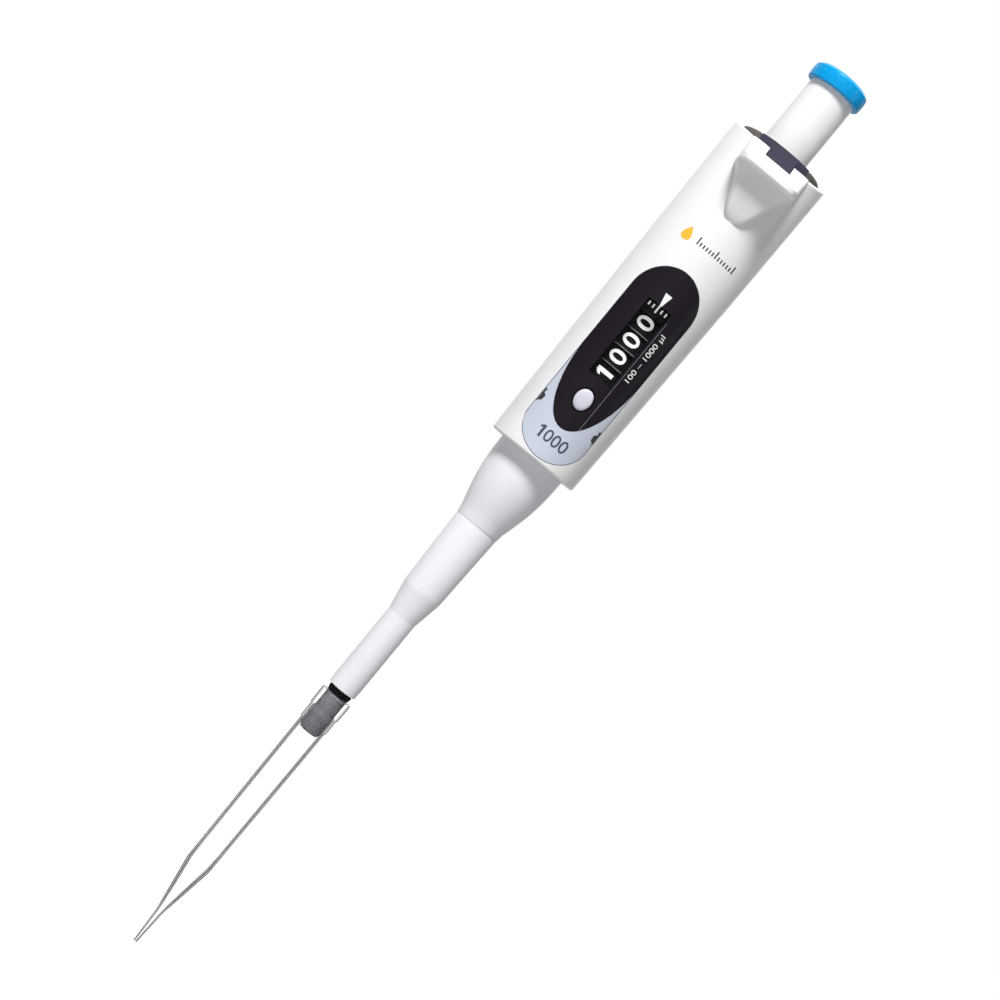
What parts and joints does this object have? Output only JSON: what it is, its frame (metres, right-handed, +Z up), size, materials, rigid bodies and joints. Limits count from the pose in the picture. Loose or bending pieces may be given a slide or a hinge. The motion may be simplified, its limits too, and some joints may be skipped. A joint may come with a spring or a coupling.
{
  "type": "adjustable micropipette",
  "caption": "Adjustable single-channel micropipette, 100 to 1000 microlitres, with turning and pressing button, number rings, tip ejector and a fitted disposable tip.",
  "frame": {"origin": "centre of the flat land under the finger hook's lip", "axes": "+Z up the pipette's axis towards the button; the display and the finger hook face -Y; +X to the right seen from the display side. The pipette's axis is at y = +22.2 mm and the tip's orifice at z = -275.5 mm."},
  "size_m": [0.032, 0.0443, 0.3143],
  "materials": {
    "body_white": "smooth glossy moulding",
    "sleeve_white": "smooth semi-gloss moulding",
    "bezel_black": "satin black",
    "window_clear": "clear, polished",
    "label_silver": "satin silvery blue",
    "cap_blue": "glossy sky blue",
    "collar_grey": "dark grey, fine matte",
    "pad_dark": "darker grey, fine matte",
    "lock_grey": "pale lavender grey",
    "cone_grey": "grey, smooth",
    "seal_black": "black rubber",
    "tip_clear": "clear polypropylene",
    "ring_black": "black with white numbers",
    "gear_white": "natural acetal",
    "frame_grey": "grey moulding",
    "piston_white": "smooth white",
    "steel": "ground",
    "brass": "turned"
  },
  "bodies": {
    "handle": {"handle_front": "body_white", "handle_rear": "body_white", "display_bezel": "bezel_black", "display_window": "window_clear", "label_panel": "label_silver", "head_collar": "collar_grey", "collar_pad": "pad_dark", "volume_nut": "brass", "counter_frame": "frame_grey", "frame_screws": "steel", "carry_shaft": "steel", "support_tube": "frame_grey", "blowout_spring": "steel", "blowout_ring": "steel", "piston_spring": "steel", "spring_seat": "frame_grey", "cylinder_nut": "frame_grey", "tip_cone": "cone_grey", "tip_seal": "seal_black", "ejector_spring": "steel", "lock_spring": "steel"},
    "adjuster": {"adjusting_sleeve": "brass", "drive_gear": "gear_white"},
    "plunger": {"button_cap": "cap_blue", "button_tube": "body_white", "push_rod": "steel"},
    "piston": {"piston_rod": "steel", "piston": "piston_white", "piston_seal": "seal_black"},
    "ejector": {"ejector_key": "collar_grey", "ejector_rod": "steel", "ejector_plate": "frame_grey", "ejector_bell": "sleeve_white", "ejector_sleeve": "sleeve_white"},
    "tip": {"tip": "tip_clear"},
    "lock_button": {"lock_button": "lock_grey"},
    "ring_units": {"ring_units": "ring_black"},
    "ring_tens": {"ring_tens": "ring_black"},
    "ring_hundreds": {"ring_hundreds": "ring_black"},
    "ring_thousands": {"ring_thousands": "ring_black"},
    "drive_pinion": {"drive_pinion": "gear_white"},
    "pinion_tens": {"pinion_tens": "gear_white"},
    "pinion_hundreds": {"pinion_hundreds": "gear_white"},
    "pinion_thousands": {"pinion_thousands": "gear_white"}
  },
  "joints": [
    {"name": "volume_turn", "type": "hinge", "parent": "handle", "child": "adjuster", "pos_m": [0, 0.0222, -0.0455], "axis": [0, 0, 1], "range_deg": [0, 3240]},
    {"name": "plunger_press", "type": "slide", "parent": "adjuster", "child": "plunger", "axis": [0, 0, -1], "range_m": [0, 0.0211], "stiffness_N_per_m": 350, "springref_m": -0.006},
    {"name": "piston_slide", "type": "slide", "parent": "handle", "child": "piston", "axis": [0, 0, -1], "range_m": [0, 0.0211], "deforming": ["piston_spring"]},
    {"name": "ejector_press", "type": "slide", "parent": "handle", "child": "ejector", "axis": [0, 0, -1], "range_m": [0, 0.007], "stiffness_N_per_m": 500, "springref_m": -0.004, "deforming": ["ejector_spring"]},
    {"name": "tip_release", "type": "slide", "parent": "handle", "child": "tip", "axis": [0, 0, -1], "range_m": [0, 0.014]},
    {"name": "lock_press", "type": "slide", "parent": "handle", "child": "lock_button", "axis": [0, 1, 0], "range_m": [0, 0.0012], "stiffness_N_per_m": 400, "springref_m": -0.0008},
    {"name": "units_turn", "type": "hinge", "parent": "handle", "child": "ring_units", "pos_m": [0, 0.0222, -0.0455], "axis": [0, 0, 1], "range_deg": [0, 32400]},
    {"name": "tens_turn", "type": "hinge", "parent": "handle", "child": "ring_tens", "pos_m": [0, 0.0222, -0.0455], "axis": [0, 0, 1], "range_deg": [0, 3240]},
    {"name": "hundreds_turn", "type": "hinge", "parent": "handle", "child": "ring_hundreds", "pos_m": [0, 0.0222, -0.0455], "axis": [0, 0, 1], "range_deg": [0, 324]},
    {"name": "thousands_turn", "type": "hinge", "parent": "handle", "child": "ring_thousands", "pos_m": [0, 0.0222, -0.0455], "axis": [0, 0, 1], "range_deg": [0, 36]},
    {"name": "drive_pinion_turn", "type": "hinge", "parent": "handle", "child": "drive_pinion", "pos_m": [-0.00987, 0.0279, -0.0555], "axis": [0, 0, 1], "range_deg": [-19440, 0]},
    {"name": "pinion_tens_turn", "type": "hinge", "parent": "handle", "child": "pinion_tens", "pos_m": [-0.00987, 0.0279, -0.0555], "axis": [0, 0, 1], "range_deg": [-19440, 0]},
    {"name": "pinion_hundreds_turn", "type": "hinge", "parent": "handle", "child": "pinion_hundreds", "pos_m": [-0.00987, 0.0279, -0.0555], "axis": [0, 0, 1], "range_deg": [-1944, 0]},
    {"name": "pinion_thousands_turn", "type": "hinge", "parent": "handle", "child": "pinion_thousands", "pos_m": [-0.00987, 0.0279, -0.0555], "axis": [0, 0, 1], "range_deg": [-216, 0]}
  ],
  "couplings": [
    {"joint": "piston_slide", "follows": "plunger_press", "ratio": 1},
    {"joint": "tip_release", "follows": "ejector_press", "ratio": 2},
    {"joint": "units_turn", "follows": "volume_turn", "ratio": 10},
    {"joint": "tens_turn", "follows": "volume_turn", "ratio": 1},
    {"joint": "hundreds_turn", "follows": "volume_turn", "ratio": 0.1},
    {"joint": "thousands_turn", "follows": "volume_turn", "ratio": 0.011111},
    {"joint": "drive_pinion_turn", "follows": "volume_turn", "ratio": -6},
    {"joint": "pinion_tens_turn", "follows": "volume_turn", "ratio": -6},
    {"joint": "pinion_hundreds_turn", "follows": "volume_turn", "ratio": -0.6},
    {"joint": "pinion_thousands_turn", "follows": "volume_turn", "ratio": -0.066667}
  ]
}
